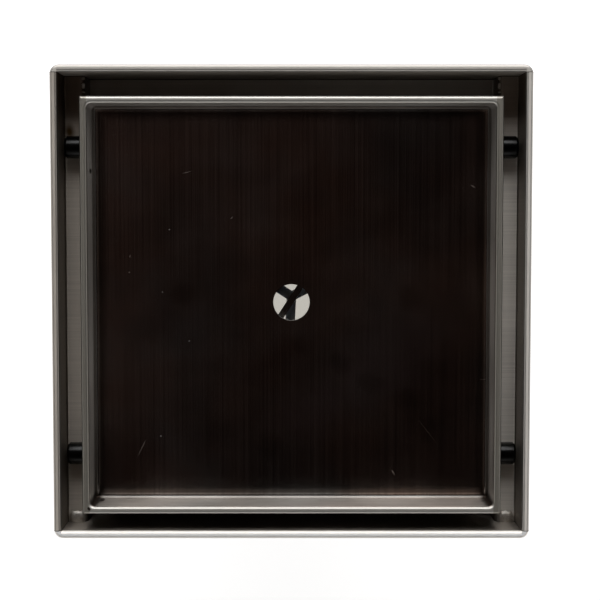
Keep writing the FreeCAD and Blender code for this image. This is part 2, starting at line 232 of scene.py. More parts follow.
@dataclass(frozen=True)
class BrushedSteel:
    """Stainless sheet brushed on a belt: fine lines one way, and a highlight drawn out across them.

    Pairs that end in _up give the upward part of the surface normal, and pairs that end in _spread
    give the noise values, between which a pattern goes from 0 to 1.
    """

    name: str
    grain: Grain
    dark: str
    light: str
    roughness: float
    anisotropy: float
    rim_mm: Span = (78.5, 79.1)
    rim_roughness: float = 0.75
    rim_colour: str = "#e6e2dc"
    rim_line: Point = (1.0, 0.0, 0.0)
    least_worn: float = 0.7
    edge_roughness: float = 0.34
    # Where this is darker than the rim colour, it is a painted shade that dims the highlight on the rim's
    # rounded edges.
    edge_colour: str = "#aeaaa5"
    flat_up: Span = (0.93, 0.995)
    # Painted shade: this colour darkens the walls below the rim.
    wall_colour: str = "#c6c2be"
    wall_up: Span = (0.85, 0.998)
    end_wall_stretch: float = 0.004
    line_mm: float = 0.34
    line_length_mm: float = 110.0
    line_fine_share: float = 0.65
    line_spread: Span = (0.3, 0.7)
    line_share: float = 0.65
    line_depth: float = 0.04
    cloud_mm: float = 26.0
    cloud_fine_share: float = 0.55
    cloud_spread: Span = (0.32, 0.68)
    cloud_depth: float = 0.05
    detail: float = 3.0
    bump_strength: float = 0.12
    bump_mm: float = 0.03

    def build(self) -> Material:
        """Make the material.

        Returns:
            The finished material.
        """
        material, tree = start_material(self.name)
        place = add_node(tree, "TexCoord").outputs["Object"]
        facing = add_node(tree, "NewGeometry").outputs["Normal"]
        spot, normal = [add_node(tree, "SeparateXYZ", inputs={0: whole}).outputs for whole in (place, facing)]
        sheet = Sheet(tree, place, facing, spot, normal)
        lines = self.brush_lines(sheet)
        clouds = self.clouds(sheet)
        bump = add_node(tree, "Bump", inputs={
            "Strength": self.bump_strength, "Distance": self.bump_mm * MM, "Height": lines,
        })
        shader = add_node(tree, "BsdfPrincipled", inputs={
            "Base Color": self.soiled(sheet, self.colour(sheet, lines, clouds)),
            "Metallic": 1.0,
            "Roughness": self.surface(sheet, lines, clouds),
            "Anisotropic": self.anisotropy,
            "Tangent": self.across(sheet),
            "Normal": bump,
        })
        add_node(tree, "OutputMaterial", inputs={"Surface": shader})
        return material

    def across(self, sheet: Sheet) -> Node:
        """Give the direction across the brush lines, and across the grinding lines on the rim.

        Args:
            sheet: Nodes of the sheet.

        Returns:
            The direction that the highlight is drawn out in.
        """
        along = add_node(sheet.tree, "Mix", {"data_type": "VECTOR"}, {
            "Factor": self.rim(sheet), "A": self.grain.line, "B": self.rim_line,
        })
        turned = add_node(sheet.tree, "VectorMath", {"operation": "CROSS_PRODUCT"}, {
            0: sheet.facing, 1: along,
        })
        return add_node(sheet.tree, "VectorMath", {"operation": "ADD"}, {0: turned, 1: self.grain.fallback})

    def brush_lines(self, sheet: Sheet) -> Node:
        """Draw the brush lines, coarser than a belt's real grit so that they show.

        Args:
            sheet: Nodes of the sheet.

        Returns:
            A value from 0 to 1 that changes from line to line.
        """
        fine = 1 / (self.line_mm * MM)
        long = 1 / (self.line_length_mm * MM)
        scales = {
            Grain.ALONG_X_ON_FOLDS: (long, fine, long),
            Grain.ALONG_X_ON_PLATE: (long, fine, fine),
            Grain.ALONG_Y: (fine, long, fine),
        }
        place = self.folded_up(sheet) if self.grain is Grain.ALONG_Y else sheet.place
        stretched = add_node(sheet.tree, "Mapping", inputs={"Vector": place, "Scale": scales[self.grain]})
        noise = add_node(sheet.tree, "TexNoise", inputs={
            "Vector": stretched, "Scale": 1.0, "Detail": self.detail, "Roughness": self.line_fine_share,
        })
        return add_node(sheet.tree, "MapRange", inputs={"Value": noise, **between(self.line_spread)})

    def folded_up(self, sheet: Sheet) -> Node:
        """Fold the coordinates up with the sheet, so that lines along Y run level on all its walls.

        Args:
            sheet: Nodes of the sheet.

        Returns:
            Coordinates whose height counts only on walls, and whose width counts only off the end walls.
        """
        tree = sheet.tree
        sideways = add_node(tree, "Math", {"operation": "ABSOLUTE"}, {0: sheet.normal["X"]})
        endways = add_node(tree, "Math", {"operation": "ABSOLUTE"}, {0: sheet.normal["Y"]})
        upright = add_node(tree, "Math", {"operation": "MAXIMUM"}, {0: sideways, 1: endways})
        height = add_node(tree, "Math", {"operation": "MULTIPLY"}, {0: sheet.spot["Z"], 1: upright})
        stretch = add_node(tree, "MapRange", inputs={
            "Value": endways, "To Min": 1.0, "To Max": self.end_wall_stretch,
        })
        width = add_node(tree, "Math", {"operation": "MULTIPLY"}, {0: sheet.spot["X"], 1: stretch})
        return add_node(tree, "CombineXYZ", inputs={"X": width, "Y": sheet.spot["Y"], "Z": height})

    def clouds(self, sheet: Sheet) -> Node:
        """Vary the sheet in broad soft patches, as handling and rolling leave it.

        Args:
            sheet: Nodes of the sheet.

        Returns:
            A value from 0 to 1.
        """
        noise = add_node(sheet.tree, "TexNoise", inputs={
            "Vector": sheet.place, "Scale": 1 / (self.cloud_mm * MM),
            "Detail": self.detail, "Roughness": self.cloud_fine_share,
        })
        return add_node(sheet.tree, "MapRange", inputs={"Value": noise, **between(self.cloud_spread)})

    def rim(self, sheet: Sheet) -> Node:
        """Find the rim, which is ground after folding.

        Args:
            sheet: Nodes of the sheet.

        Returns:
            1 on the rim and 0 below it.
        """
        return add_node(sheet.tree, "MapRange", {"interpolation_type": "SMOOTHSTEP"}, {
            "Value": sheet.spot["Z"], **between(self.rim_mm, MM),
        })

    def level(self, sheet: Sheet) -> Node:
        """Find the flats, which the disc ground rougher than the rounded edges beside them.

        Args:
            sheet: Nodes of the sheet.

        Returns:
            1 on a flat that faces up and 0 on a rounded edge.
        """
        return add_node(sheet.tree, "MapRange", inputs={"Value": sheet.normal["Z"], **between(self.flat_up)})

    def walls(self, sheet: Sheet) -> Node:
        """Find the walls and bends below the rim.

        Args:
            sheet: Nodes of the sheet.

        Returns:
            1 on a wall and 0 on a level face and the rim.
        """
        tree = sheet.tree
        steep = add_node(tree, "MapRange", inputs={
            "Value": sheet.normal["Z"], **between(self.wall_up), **FALLING,
        })
        below_rim = add_node(tree, "Math", {"operation": "SUBTRACT"}, {0: 1.0, 1: self.rim(sheet)})
        return add_node(tree, "Math", {"operation": "MULTIPLY"}, {0: steep, 1: below_rim})

    def colour(self, sheet: Sheet, lines: Node, clouds: Node) -> Node:
        """Mix the steel's colour from its lines and patches, with a painted shade on its walls and other
        tones on its rim.

        Args:
            sheet: Nodes of the sheet.
            lines: Brush lines.
            clouds: Broad patches.

        Returns:
            The steel's colour, with the painted shade on its walls.
        """
        tree = sheet.tree
        share = add_node(tree, "Math", {"operation": "MULTIPLY"}, {0: clouds, 1: 1 - self.line_share})
        both = add_node(tree, "Math", {"operation": "MULTIPLY_ADD", "use_clamp": True}, {
            0: lines, 1: self.line_share, 2: share,
        })
        brushed = add_node(tree, "Mix", {"data_type": "RGBA"}, {
            "Factor": both, "A": linear(self.dark), "B": linear(self.light),
        })
        # Painted shade: the walls below the rim are darkened here.
        walled = lay_over(tree, brushed, (Layer(self.walls(sheet), self.wall_colour),))
        worn = add_node(tree, "MapRange", inputs={"Value": clouds, "To Min": self.least_worn, "To Max": 1.0})
        level = add_node(tree, "Math", {"operation": "MULTIPLY"}, {0: self.level(sheet), 1: worn})
        # Painted shade: a darker edge colour dims the highlight on the rim's rounded edges.
        ground = add_node(tree, "Mix", {"data_type": "RGBA"}, {
            "Factor": level, "A": linear(self.edge_colour), "B": linear(self.rim_colour),
        })
        return add_node(tree, "Mix", {"data_type": "RGBA"}, {
            "Factor": self.rim(sheet), "A": walled, "B": ground,
        })

    def soiled(self, sheet: Sheet, colour: Node) -> Node:
        """Return the colour as it is, on a finish that carries no dirt and no painted shade."""
        return colour

    def surface(self, sheet: Sheet, lines: Node, clouds: Node) -> Node:
        """Set how rough the sheet and its ground rim are.

        Args:
            sheet: Nodes of the sheet.
            lines: Brush lines.
            clouds: Broad patches.

        Returns:
            The roughness.
        """
        tree = sheet.tree
        streaked = add_node(tree, "MapRange", inputs={
            "Value": lines,
            "To Min": self.roughness - self.line_depth, "To Max": self.roughness + self.line_depth,
        })
        patched = add_node(tree, "Math", {"operation": "MULTIPLY_ADD"}, {
            0: clouds, 1: self.cloud_depth, 2: streaked,
        })
        ground = add_node(tree, "Mix", {"data_type": "FLOAT"}, {
            "Factor": self.level(sheet), "A": self.edge_roughness, "B": self.rim_roughness,
        })
        return add_node(tree, "Mix", {"data_type": "FLOAT"}, {
            "Factor": self.rim(sheet), "A": patched, "B": ground,
        })


@dataclass(frozen=True)
class ChannelSteel(BrushedSteel):
    """Brushed sheet of the channel, with dark joints at its ends, painted shade at the back, on the left and
    in the back left corner, and water stains.
    """

    end_mm: float = 62.35
    joint_mm: float = 0.22
    joint_colour: str = "#3a342e"
    # Painted shade on the ledges and walls near the back plate, where the plate shades them.
    dirt_mm: Span = (42.0, 55.0)
    dirt_above_mm: float = 65.0
    dirt_colour: str = "#cbc2ba"
    # Painted shade that darkens the left side of the channel.
    left_mm: Span = (-20.0, 20.0)
    left_colour: str = "#ffffff"
    # Painted shade in the back left corner of the ledge and wall.
    shades: Marks = ()
    shade_core: float = 0.3
    shade_colour: str = "#dad3d0"
    stains: Marks = ()
    stain_core: float = 0.1
    stain_colour: str = "#5a4326"

    def soiled(self, sheet: Sheet, colour: Node) -> Node:
        """Paint shade at the back, on the left side and in the back left corner, and draw the joints and the
        water stains.

        Args:
            sheet: Nodes of the sheet.
            colour: The clean steel's colour.

        Returns:
            The base colour.
        """
        tree = sheet.tree
        # Painted shade: the ledges and walls darken towards the back plate.
        back = add_node(tree, "MapRange", {"interpolation_type": "SMOOTHSTEP"}, {
            "Value": sheet.spot["Y"], **between(self.dirt_mm, MM),
        })
        raised = add_node(tree, "Math", {"operation": "GREATER_THAN"}, {
            0: sheet.spot["Z"], 1: self.dirt_above_mm * MM,
        })
        ledge = add_node(tree, "Math", {"operation": "SUBTRACT", "use_clamp": True}, {
            0: raised, 1: self.rim(sheet),
        })
        dirt = add_node(tree, "Math", {"operation": "MULTIPLY"}, {0: back, 1: ledge})
        # Painted shade: the left side is darker than the right.
        left = add_node(tree, "MapRange", inputs={
            "Value": sheet.spot["X"], **between(self.left_mm, MM), **FALLING,
        })
        out = add_node(tree, "Math", {"operation": "ABSOLUTE"}, {0: sheet.spot["Y"]})
        joint = add_node(tree, "MapRange", {"interpolation_type": "SMOOTHSTEP"}, {
            "Value": out, **between((self.end_mm - self.joint_mm, self.end_mm - self.joint_mm / 2), MM),
        })
        # Painted shade in the back left corner.
        shade = draw_marks(tree, sheet.place, self.shades, self.shade_core)
        stain = draw_marks(tree, sheet.place, self.stains, self.stain_core)
        return lay_over(tree, colour, (
            Layer(dirt, self.dirt_colour),
            Layer(left, self.left_colour),
            Layer(shade, self.shade_colour),
            Layer(joint, self.joint_colour, Blend.COVER),
            Layer(stain, self.stain_colour, Blend.COVER),
        ))


@dataclass(frozen=True)
class TraySteel(BrushedSteel):
    """Brushed sheet of the tray, with the scratches, smudges and stains of use, and painted shade on its side
    rims, at the foot of its walls, along the floor's edge and in its front inner corners.
    """

    inner_side_mm: float = 55.15
    inner_end_mm: float = 54.75
    middle_mm: float = -0.8
    # Painted shade that darkens the left and right rims.
    side_rim_colour: str = "#d6d3ce"
    wall_roughness: float = 0.45
    under_below: float = -0.9
    under_roughness: float = 0.65
    under_colour: str = "#eceae6"
    # Painted shade in the front inner corners; the same colour darkens the stain spots.
    grime_mm: float = 3.6
    grime_core: float = 0.45
    grime_grain_mm: float = 2.2
    grime_shift_mm: float = 1.6
    grime_colour: str = "#2c2520"
    # Painted shade along the floor's edge beside the walls.
    film_mm: Span = (-5.0, -1.5)
    film_end_mm: Span = (-1.7, -0.8)
    film_colour: str = "#8a8480"
    # Painted shade low in the bends, mostly kept off the front wall.
    foot_mm: Span = (67.1, 70.4)
    foot_colour: str = "#6c6763"
    wiped_back: Span = (0.2, 0.95)
    wiped_rest: float = 0.1
    tint_mm: float = 40.0
    tint_detail: float = 4.0
    tint_spread: Span = (0.35, 0.65)
    warm_tint: str = "#ffe4d8"
    cool_tint: str = "#e6ecf2"
    scratches: Marks = ()
    scratch_core: float = 0.3
    scratch_roughness: float = 0.8
    veils: Marks = ()
    veil_core: float = 0.0
    veil_strength: float = 0.4
    veil_colour: str = "#ece8f0"
    smudges: Marks = ()
    smudge_core: float = 0.2
    smudge_grain_mm: float = 5.0
    smudge_shift_mm: float = 4.5
    smudge_colour: str = "#e2dfdd"
    spots: Marks = ()
    spot_core: float = 0.5

    def under(self, sheet: Sheet) -> Node:
        """Return 1 on the underside, which keeps the pale mill finish of plain sheet, and 0 elsewhere."""
        inputs = {0: sheet.normal["Z"], 1: self.under_below}
        return add_node(sheet.tree, "Math", {"operation": "LESS_THAN"}, inputs)

    def grime(self, sheet: Sheet) -> Node:
        """Find the front inner corners, which get a painted shade.

        Args:
            sheet: Nodes of the sheet.

        Returns:
            1 in a corner and 0 away from it and on the rim.
        """
        tree = sheet.tree
        across = add_node(tree, "Math", {"operation": "ABSOLUTE"}, {0: sheet.spot["X"]})
        level = add_node(tree, "CombineXYZ", inputs={"X": across, "Y": sheet.spot["Y"]})
        corner = (self.inner_side_mm * MM, (self.middle_mm - self.inner_end_mm) * MM, 0.0)
        away = add_node(tree, "VectorMath", {"operation": "DISTANCE"}, {0: level, 1: corner})
        noise = add_node(tree, "TexNoise", inputs={
            "Vector": sheet.place, "Scale": 1 / (self.grime_grain_mm * MM), "Detail": self.detail,
        })
        ragged = add_node(tree, "Math", {"operation": "MULTIPLY_ADD"}, {
            0: noise, 1: self.grime_shift_mm * MM, 2: away,
        })
        dirt = add_node(tree, "MapRange", {"interpolation_type": "SMOOTHSTEP"}, {
            "Value": ragged, **between((self.grime_core * self.grime_mm, self.grime_mm), MM), **FALLING,
        })
        below_rim = add_node(tree, "Math", {"operation": "SUBTRACT"}, {0: 1.0, 1: self.rim(sheet)})
        return add_node(tree, "Math", {"operation": "MULTIPLY"}, {0: dirt, 1: below_rim})

    def film(self, sheet: Sheet) -> Node:
        """Find the edge of the floor along the walls, which gets a painted shade.

        Args:
            sheet: Nodes of the sheet.

        Returns:
            1 beside a wall and 0 in the open floor and up the walls.
        """
        tree = sheet.tree
        moved = add_node(tree, "Math", {"operation": "SUBTRACT"}, {
            0: sheet.spot["Y"], 1: self.middle_mm * MM,
        })
        past_walls: list[Node] = []
        for run, inner_mm in ((sheet.spot["X"], self.inner_side_mm), (moved, self.inner_end_mm)):
            out = add_node(tree, "Math", {"operation": "ABSOLUTE"}, {0: run})
            past = add_node(tree, "Math", {"operation": "SUBTRACT"}, {0: out, 1: inner_mm * MM})
            past_walls.append(past)
        nearest = add_node(tree, "Math", {"operation": "MAXIMUM"}, dict(enumerate(past_walls)))
        edge = add_node(tree, "MapRange", {"interpolation_type": "SMOOTHSTEP"}, {
            "Value": nearest, **between(self.film_mm, MM),
        })
        low = add_node(tree, "MapRange", inputs={
            "Value": nearest, **between(self.film_end_mm, MM), **FALLING,
        })
        return add_node(tree, "Math", {"operation": "MULTIPLY"}, {0: edge, 1: low})

    def side_rims(self, sheet: Sheet) -> Node:
        """Find the left and right rims, which were ground along their length and get a painted shade that
        makes them darker.

        Args:
            sheet: Nodes of the sheet.

        Returns:
            1 on a side rim and 0 elsewhere.
        """
        tree = sheet.tree
        out = add_node(tree, "Math", {"operation": "ABSOLUTE"}, {0: sheet.spot["X"]})
        beside = add_node(tree, "Math", {"operation": "GREATER_THAN"}, {0: out, 1: self.inner_side_mm * MM})
        return add_node(tree, "Math", {"operation": "MULTIPLY"}, {0: beside, 1: self.rim(sheet)})

    def foot(self, sheet: Sheet) -> Node:
        """Find the foot of the walls, where a painted shade dulls the highlight in the bend.

        Args:
            sheet: Nodes of the sheet.

        Returns:
            1 low in the bend, and 0 on the floor and up the walls. The front wall keeps little of the shade.
        """
        tree = sheet.tree
        low = add_node(tree, "MapRange", {"interpolation_type": "SMOOTHSTEP"}, {
            "Value": sheet.spot["Z"], **between(self.foot_mm, MM), **FALLING,
        })
        held = add_node(tree, "Math", {"operation": "MULTIPLY"}, {0: low, 1: self.walls(sheet)})
        wiped = add_node(tree, "MapRange", inputs={
            "Value": sheet.normal["Y"], **between(self.wiped_back),
            "To Min": 1.0, "To Max": self.wiped_rest,
        })
        return add_node(tree, "Math", {"operation": "MULTIPLY"}, {0: held, 1: wiped})

    def ragged(self, sheet: Sheet) -> Node:
        """Shift the coordinates a little from place to place, so that smudges lose their round outline.

        Args:
            sheet: Nodes of the sheet.

        Returns:
            The shifted coordinates.
        """
        noise = add_node(sheet.tree, "TexNoise", inputs={
            "Vector": sheet.place, "Scale": 1 / (self.smudge_grain_mm * MM), "Detail": self.detail,
        })
        centred = add_node(sheet.tree, "VectorMath", {"operation": "SUBTRACT"}, {
            0: noise.outputs["Color"], 1: NOISE_MIDDLE,
        })
        reach = self.smudge_shift_mm * MM
        return add_node(sheet.tree, "VectorMath", {"operation": "MULTIPLY_ADD"}, {
            0: centred, 1: (reach, reach, 0.0), 2: sheet.place,
        })

    def tinted(self, sheet: Sheet, colour: Node) -> Node:
        """Tint the floor in broad rust-red and blue-grey patches, as dried water leaves it.

        Args:
            sheet: Nodes of the sheet.
            colour: The clean steel's colour.

        Returns:
            The tinted colour.
        """
        tree = sheet.tree
        noise = add_node(tree, "TexNoise", inputs={
            "Vector": sheet.place, "Scale": 1 / (self.tint_mm * MM), "Detail": self.tint_detail,
        })
        spread = add_node(tree, "MapRange", inputs={"Value": noise, **between(self.tint_spread)})
        tint = add_node(tree, "Mix", {"data_type": "RGBA"}, {
            "Factor": spread, "A": linear(self.warm_tint), "B": linear(self.cool_tint),
        })
        floor = add_node(tree, "Math", {"operation": "SUBTRACT", "use_clamp": True}, {
            0: self.level(sheet), 1: self.rim(sheet),
        })
        return add_node(tree, "Mix", {"data_type": "RGBA", "blend_type": "MULTIPLY"}, {
            "Factor": floor, "A": colour, "B": tint,
        })

    def soiled(self, sheet: Sheet, colour: Node) -> Node:
        """Tint and smudge the floor, paint shade along its edge, on the side rims, at the foot of the walls
        and in the front corners, and darken the spots.

        Args:
            sheet: Nodes of the sheet.
            colour: The clean steel's colour.

        Returns:
            The base colour.
        """
        tree = sheet.tree
        ragged = self.ragged(sheet)
        veil = add_node(tree, "Math", {"operation": "MULTIPLY"}, {
            0: draw_marks(tree, ragged, self.veils, self.veil_core), 1: self.veil_strength,
        })
        smudge = draw_marks(tree, ragged, self.smudges, self.smudge_core)
        spot = draw_marks(tree, sheet.place, self.spots, self.spot_core)
        return lay_over(tree, self.tinted(sheet, colour), (
            Layer(veil, self.veil_colour, Blend.COVER),
            Layer(smudge, self.smudge_colour),
            Layer(self.film(sheet), self.film_colour),
            Layer(self.side_rims(sheet), self.side_rim_colour),
            Layer(self.foot(sheet), self.foot_colour),
            Layer(self.grime(sheet), self.grime_colour, Blend.COVER),
            Layer(spot, self.grime_colour, Blend.COVER),
            Layer(self.under(sheet), self.under_colour, Blend.COVER),
        ))

    def surface(self, sheet: Sheet, lines: Node, clouds: Node) -> Node:
        """Set how rough the floor, the walls, the rim, the scratches and the underside are.

        Args:
            sheet: Nodes of the sheet.
            lines: Brush lines.
            clouds: Broad patches.

        Returns:
            The roughness.
        """
        roughness = super().surface(sheet, lines, clouds)
        scratch = draw_marks(sheet.tree, sheet.place, self.scratches, self.scratch_core)
        for mask, own_roughness in (
            (self.walls(sheet), self.wall_roughness),
            (scratch, self.scratch_roughness),
            (self.under(sheet), self.under_roughness),
        ):
            roughness = add_node(sheet.tree, "Mix", {"data_type": "FLOAT"}, {
                "Factor": mask, "A": roughness, "B": own_roughness,
            })
        return roughness


@dataclass(frozen=True)
class MottledSkin:
    """A skin as it set, with one colour mottled by another and a fine uneven surface."""

    name: str
    main: str
    mottle: str
    roughness: float
    grain_mm: float
    detail: float
    fine_share: float
    spread: Span
    uneven: float
    bump_strength: float
    bump_mm: float
    constants: tuple[tuple[str, float], ...]

    def build(self) -> Material:
        """Make the material.

        Returns:
            The finished material.
        """
        material, tree = start_material(self.name)
        noise = add_node(tree, "TexNoise", inputs={
            "Vector": add_node(tree, "TexCoord").outputs["Object"],
            "Scale": 1 / (self.grain_mm * MM), "Detail": self.detail, "Roughness": self.fine_share,
        })
        patches = add_node(tree, "MapRange", inputs={"Value": noise, **between(self.spread)})
        colour = add_node(tree, "Mix", {"data_type": "RGBA"}, {
            "Factor": patches, "A": linear(self.main), "B": linear(self.mottle),
        })
        rough = add_node(tree, "MapRange", inputs={
            "Value": noise, "To Min": self.roughness - self.uneven, "To Max": self.roughness + self.uneven,
        })
        bump = add_node(tree, "Bump", inputs={
            "Strength": self.bump_strength, "Distance": self.bump_mm * MM, "Height": noise,
        })
        shader = add_node(tree, "BsdfPrincipled", inputs={
            "Base Color": colour,
            "Roughness": rough,
            "Normal": bump,
            **dict(self.constants),
        })
        add_node(tree, "OutputMaterial", inputs={"Surface": shader})
        return material


@dataclass(frozen=True)
class Rubber(MottledSkin):
    """Moulded black rubber: a deep dark skin with one narrow highlight."""

    grain_mm: float = 0.5
    detail: float = 2.0
    fine_share: float = 0.5
    spread: Span = (0.0, 1.0)
    uneven: float = 0.06
    bump_strength: float = 0.15
    bump_mm: float = 0.04
    constants: tuple[tuple[str, float], ...] = (("IOR", 1.52), ("Specular IOR Level", 0.25))


@dataclass(frozen=True)
class WeldSteel(MottledSkin):
    """Weld metal left as it froze: bright ripples with straw heat tint in patches."""

    grain_mm: float = 1.6
    detail: float = 3.0
    fine_share: float = 0.6
    spread: Span = (0.4, 0.7)
    uneven: float = 0.08
    bump_strength: float = 0.3
    bump_mm: float = 0.05
    constants: tuple[tuple[str, float], ...] = (("Metallic", 1.0),)


# The channel: pale satin steel with a broad soft sheen, with painted shade on its walls, on its left side, at
# the back and in the back left corner, and water stains on its left ledge.
FOLDED_STEEL = ChannelSteel(
    "brushed_stainless_folded_channel", Grain.ALONG_X_ON_FOLDS, "#d8d3cc", "#f8f3ec", 0.58, 0.7,
    wall_colour="#b8b4b0",
    left_colour="#e4e0dc",
    shades=(Mark(-61.0, 61.0, 7.0, 12.0, 0.0, 70.0, 14.0),),
    stains=(Mark(-61.6, 47.0, 2.2, 3.4, 8.0, 66.5), Mark(-60.8, 43.6, 1.2, 2.0, 0.0, 66.5)),
)
# The front plate: close belt lines that draw its highlight out, under a bright ground rim, painted paler than
# the back plate's rim as painted light on its flats and rounded edges.
FRONT_STEEL = BrushedSteel(
    "brushed_stainless_front_plate", Grain.ALONG_X_ON_PLATE, "#c4bfb8", "#e0dbd4", 0.36, 0.92,
    rim_roughness=0.62,
    rim_colour="#ffffff",
    edge_roughness=0.46,
    edge_colour="#f0ece6",
    wall_colour="#a39f9b",
)
# The back plate: a rougher, more even grey than the front plate, under a duller rim, painted darker as a
# painted shade that dims its highlight.
BACK_STEEL = BrushedSteel(
    "brushed_stainless_back_plate", Grain.ALONG_X_ON_PLATE, "#c4bfb8", "#e0dbd4", 0.62, 0.6,
    rim_colour="#d8d4ce",
    edge_colour="#a5a19c",
    wall_colour="#d6d2ce",
)
# The outlet: drawn tube, smoother than the sheet, with a clear highlight down its length.
TUBE_STEEL = BrushedSteel(
    "drawn_stainless_outlet_tube", Grain.ALONG_X_ON_PLATE, "#c6c2bd", "#e2deda", 0.34, 0.4,
)
# The studs: plain turned steel, a little darker than the tube.
STUD_STEEL = BrushedSteel("turned_stainless_stud", Grain.ALONG_Y, "#aca7a0", "#cdc8c2", 0.34, 0.3)
# The strainer: pickled pale and matt, so that its bars stand out in the dark outlet.
STRAINER_STEEL = BrushedSteel(
    "pressed_stainless_strainer", Grain.ALONG_Y, "#e4e8ee", "#fafcff", 0.9, 0.1,
    wall_colour="#f4f6fa",
    line_mm=0.5,
)
# The handle: bright drawn strip that mirrors the dark above it and reads as a dark bar.
HANDLE_STEEL = BrushedSteel(
    "bright_drawn_strip_handle", Grain.ALONG_Y, "#8c8a88", "#a8a6a4", 0.2, 0.2,
    line_mm=0.5,
)
# The tray: a dark mirror streaked by its brush lines, between satin walls and a grey ground rim.
TRAY_STEEL = TraySteel(
    "brushed_stainless_tile_tray", Grain.ALONG_Y, "#7e7974", "#e0deda", 0.16, 0.5,
    rim_roughness=0.58,
    rim_colour="#a09d97",
    edge_colour="#acaaa5",
    wall_colour="#eceae8",
    line_mm=0.32,
    line_depth=0.015,
    scratches=(
        Mark(-29.0, 35.8, 1.7, 0.10, 14.0),
        Mark(-34.0, 19.9, 0.28, 0.22),
        Mark(-45.0, 12.5, 0.5, 0.12, 80.0),
        Mark(-45.2, 8.0, 0.25, 0.2),
        Mark(-16.6, 23.2, 0.6, 0.10, 40.0),
        Mark(-36.0, 2.5, 0.22, 0.2),
        Mark(50.4, 31.9, 0.9, 0.12, -30.0),
        Mark(-42.0, -41.3, 3.2, 0.10, 64.0),
        Mark(-36.7, -38.0, 0.3, 0.22),
        Mark(28.6, -48.3, 1.0, 0.13, -60.0),
        Mark(53.5, -22.0, 0.9, 0.12, 0.0),
        Mark(-28.6, -11.2, 0.4, 0.14, 20.0),
        Mark(38.0, -36.5, 5.0, 0.018, -52.0),
    ),
    veils=(
        Mark(24.0, -20.0, 30.0, 16.0, 40.0),
        Mark(8.0, -30.0, 22.0, 12.0, 25.0),
    ),
    smudges=(
        Mark(33.5, 0.6, 5.0, 5.2),
        Mark(2.5, -12.5, 4.6, 4.6),
        Mark(13.5, -17.5, 5.0, 4.4, -20.0),
        Mark(21.5, -23.0, 5.2, 4.6, -30.0),
        Mark(31.5, -27.6, 5.4, 4.8, -20.0),
        Mark(38.5, -36.0, 4.6, 5.4),
        Mark(-5.9, -40.7, 5.0, 5.0),
        Mark(-31.0, 2.0, 4.6, 4.6),
    ),
    spots=(
        Mark(-55.2, 36.0, 0.6, 0.9, 0.0, 72.0),
        Mark(-52.9, -55.6, 0.9, 0.6, 0.0, 70.0),
        Mark(-55.3, -56.1, 0.5, 0.7, 30.0, 80.0),
    ),
)
PEG_RUBBER = Rubber("moulded_black_rubber", "#010101", "#030304", 0.24)
WELD_STEEL = WeldSteel("weld_metal_as_laid", "#e6e2dc", "#c4b9ac", 0.5)


def put_on(node: str, material: Material) -> None:
    """Give a CAD node a material.

    Args:
        node: Name of the node.
        material: The material.
    """
    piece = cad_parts[node]
    if not piece.material_slots:
        piece.data.materials.append(material)
    for holder in piece.material_slots:
        holder.material = material
    LOG.info("dressed %s in %s", node, material.name)


def add_piece(name: str, shape: bmesh.types.BMesh, material: Material) -> None:
    """Turn a finished bmesh into a piece that rides with the drain.

    Args:
        name: Name of the piece.
        shape: The bmesh, which is freed.
        material: The piece's material.
    """
    bmesh.ops.recalc_face_normals(shape, faces=shape.faces)
    mesh = bpy.data.meshes.new(name)
    shape.to_mesh(mesh)
    shape.free()
    mesh.materials.append(material)
    mesh.polygons.foreach_set("use_smooth", [True] * len(mesh.polygons))
    piece = bpy.data.objects.new(name, mesh)
    bpy.context.scene.collection.objects.link(piece)
    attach(piece, BODY)
    LOG.info("built %s with %d faces", name, len(mesh.polygons))


@dataclass(frozen=True)
class WeldRun:
    """A run of weld metal along a straight joint, rippled as each puddle froze.

    Sizes across the run are shares of its radius: its tips, its troughs and how uneven its ripples are.
    """

    start_mm: Point
    end_mm: Point
    radius_mm: float
    ripple_mm: float = 0.8
    sides: int = 10
    tip: float = 0.55
    trough: float = 0.86
    uneven: Span = (0.92, 1.06)
    least_steps: int = 4

    def lay(self, shape: bmesh.types.BMesh, chance: random.Random) -> None:
        """Lay the run into a bmesh.

        Args:
            shape: The bmesh that takes the run.
            chance: Source of the small differences between ripples.
        """
        start = Vector(self.start_mm) * MM
        run = Vector(self.end_mm) * MM - start
        steps = max(self.least_steps, round(run.length / (self.ripple_mm * MM)) * RINGS_PER_RIPPLE)
        turn = run.to_track_quat("Z", "Y").to_matrix().to_4x4()
        first = bmesh.ops.create_circle(
            shape, cap_ends=True, segments=self.sides, radius=self.radius_mm * MM * self.tip,
            matrix=Matrix.Translation(start) @ turn,
        )
        face = first["verts"][0].link_faces[0]
        size = self.tip
        for step in range(1, steps + 1):
            grown = bmesh.ops.extrude_face_region(shape, geom=[face])["geom"]
            verts = [part for part in grown if isinstance(part, bmesh.types.BMVert)]
            if step > 1:
                bmesh.ops.delete(shape, geom=[face], context="FACES_ONLY")
            face = next(part for part in grown if isinstance(part, bmesh.types.BMFace))
            bmesh.ops.translate(shape, verts=verts, vec=run / steps)
            crest = (1.0 if step % 2 else self.trough) * chance.uniform(*self.uneven)
            wanted = self.tip if step == steps else crest
            middle = start + run * (step / steps)
            growth = Vector((1, 1, 1)) * (wanted / size)
            bmesh.ops.scale(shape, verts=verts, vec=growth, space=Matrix.Translation(-middle))
            size = wanted


